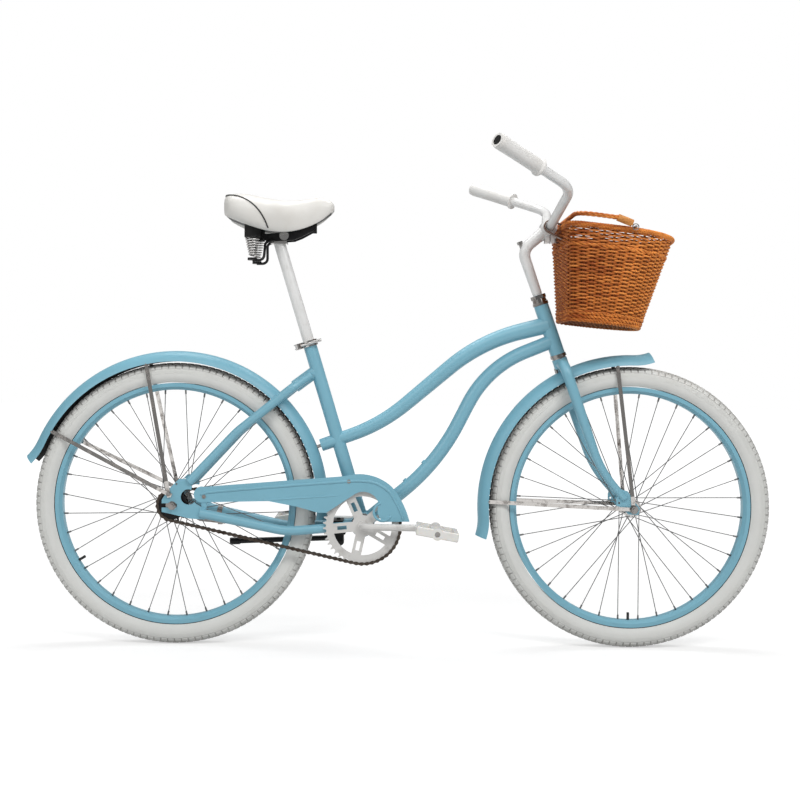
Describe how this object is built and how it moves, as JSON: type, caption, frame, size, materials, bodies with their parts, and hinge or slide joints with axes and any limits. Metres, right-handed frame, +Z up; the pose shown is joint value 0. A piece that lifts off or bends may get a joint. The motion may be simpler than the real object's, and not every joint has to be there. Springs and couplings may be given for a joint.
{
  "type": "beach cruiser bicycle",
  "caption": "Step-through beach cruiser bicycle with swept handlebar, sprung saddle, full fenders, chain guard, folding kickstand and a woven basket on the handlebar.",
  "frame": {"origin": "on the ground under the middle of the bounding box", "axes": "+X towards the front wheel, +Y to the rider's left, +Z up"},
  "size_m": [1.7652, 0.713, 1.1528],
  "materials": {
    "blue_paint": "sky blue gloss enamel",
    "white_tyre": "off-white rubber",
    "tube_rubber": "black butyl",
    "white_plastic": "white moulded plastic",
    "white_grip": "white soft grip",
    "white_paint": "white gloss enamel",
    "chrome": "bright plate",
    "steel": "zinc plated steel",
    "black_steel": "black enamel",
    "chain_steel": "oiled brown-black steel",
    "saddle_vinyl": "white padded vinyl with black piping",
    "black_plastic": "moulded",
    "wicker": "honey-brown woven willow",
    "strap_leather": "brown straps"
  },
  "bodies": {
    "frame": {"head_tube": "blue_paint", "top_tube": "blue_paint", "down_tube": "blue_paint", "seat_tube": "blue_paint", "bottom_bracket_shell": "blue_paint", "chain_stays": "blue_paint", "seat_stays": "blue_paint", "rear_dropouts": "blue_paint", "headset_cups": "chrome", "bottom_bracket_cups": "chrome", "seat_clamp": "chrome", "chain_guard": "blue_paint", "rear_fender": "blue_paint", "rear_fender_stays": "chrome", "frame_screws": "steel", "rear_axle": "steel", "rear_axle_nuts": "steel", "brake_arm": "steel", "chain": "chain_steel", "kickstand_bracket": "black_steel"},
    "clamp_lever": {"seat_clamp_lever": "chrome"},
    "stand": {"kickstand": "black_steel"},
    "post": {"seat_post": "white_paint", "saddle_clamp": "chrome", "saddle_frame": "black_steel", "saddle_springs": "chrome"},
    "saddle": {"saddle_cover": "saddle_vinyl", "saddle_pan": "black_plastic"},
    "front_end": {"fork": "blue_paint", "headset_races": "chrome", "stem": "white_paint", "stem_bolts": "steel", "handlebar": "white_paint", "grips": "white_grip", "grip_plugs": "black_plastic", "front_fender": "blue_paint", "front_fender_stays": "chrome", "front_screws": "steel", "front_axle": "steel", "front_axle_nuts": "steel", "basket": "wicker", "basket_straps": "strap_leather"},
    "handle": {"basket_handle": "wicker"},
    "front_wheel": {"front_tyre": "white_tyre", "front_rim": "blue_paint", "front_inner_tube": "tube_rubber", "front_spokes": "chrome", "front_hub_shell": "chrome"},
    "rear_wheel": {"rear_tyre": "white_tyre", "rear_rim": "blue_paint", "rear_inner_tube": "tube_rubber", "rear_spokes": "chrome", "rear_hub_shell": "chrome"},
    "sprocket": {"rear_sprocket": "black_steel"},
    "crankset": {"crank": "white_paint", "chainring": "white_paint", "crank_cones": "chrome", "pedal_spindles": "steel"},
    "right_pedal_body": {"right_pedal": "white_plastic"},
    "left_pedal_body": {"left_pedal": "white_plastic"}
  },
  "joints": [
    {"name": "steering", "type": "hinge", "parent": "frame", "child": "front_end", "pos_m": [0.37704, 0, 0.69425], "axis": [-0.3305, 0, 0.9438], "range_deg": [-60, 60]},
    {"name": "front_wheel_spin", "type": "hinge", "parent": "front_end", "child": "front_wheel", "pos_m": [0.54964, 0, 0.333], "axis": [0, 1, 0], "continuous": true},
    {"name": "rear_wheel_spin", "type": "hinge", "parent": "frame", "child": "rear_wheel", "pos_m": [-0.52736, 0, 0.333], "axis": [0, 1, 0], "continuous": true},
    {"name": "crank_spin", "type": "hinge", "parent": "frame", "child": "crankset", "pos_m": [-0.08336, 0, 0.288], "axis": [0, 1, 0], "continuous": true},
    {"name": "sprocket_spin", "type": "hinge", "parent": "frame", "child": "sprocket", "pos_m": [-0.52736, 0, 0.333], "axis": [0, 1, 0], "continuous": true},
    {"name": "right_pedal_spin", "type": "hinge", "parent": "crankset", "child": "right_pedal_body", "pos_m": [0.08664, 0, 0.288], "axis": [0, 1, 0], "continuous": true},
    {"name": "left_pedal_spin", "type": "hinge", "parent": "crankset", "child": "left_pedal_body", "pos_m": [-0.25336, 0, 0.288], "axis": [0, 1, 0], "continuous": true},
    {"name": "kickstand_fold", "type": "hinge", "parent": "frame", "child": "stand", "pos_m": [-0.14136, 0.05, 0.246], "axis": [-0.024, -0.9047, -0.4254], "range_deg": [0, 93]},
    {"name": "seat_post_slide", "type": "slide", "parent": "frame", "child": "post", "axis": [-0.294, 0, 0.9558], "range_m": [-0.14, 0.025]},
    {"name": "saddle_bounce", "type": "hinge", "parent": "post", "child": "saddle", "pos_m": [-0.20889, 0, 0.9874], "axis": [0, -1, 0], "range_deg": [0, 2.2], "stiffness_Nm_per_rad": 400, "springref_deg": -2.86, "deforming": ["saddle_springs"]},
    {"name": "seat_clamp_swing", "type": "hinge", "parent": "frame", "child": "clamp_lever", "pos_m": [-0.24021, -0.019, 0.70637], "axis": [0.294, 0, -0.9558], "range_deg": [0, 165]},
    {"name": "basket_handle_swing", "type": "hinge", "parent": "front_end", "child": "handle", "pos_m": [0.52426, 0, 0.97953], "axis": [0, 1, 0], "range_deg": [0, 160]}
  ],
  "couplings": [
    {"joint": "sprocket_spin", "follows": "crank_spin", "ratio": 2.4444}
  ]
}
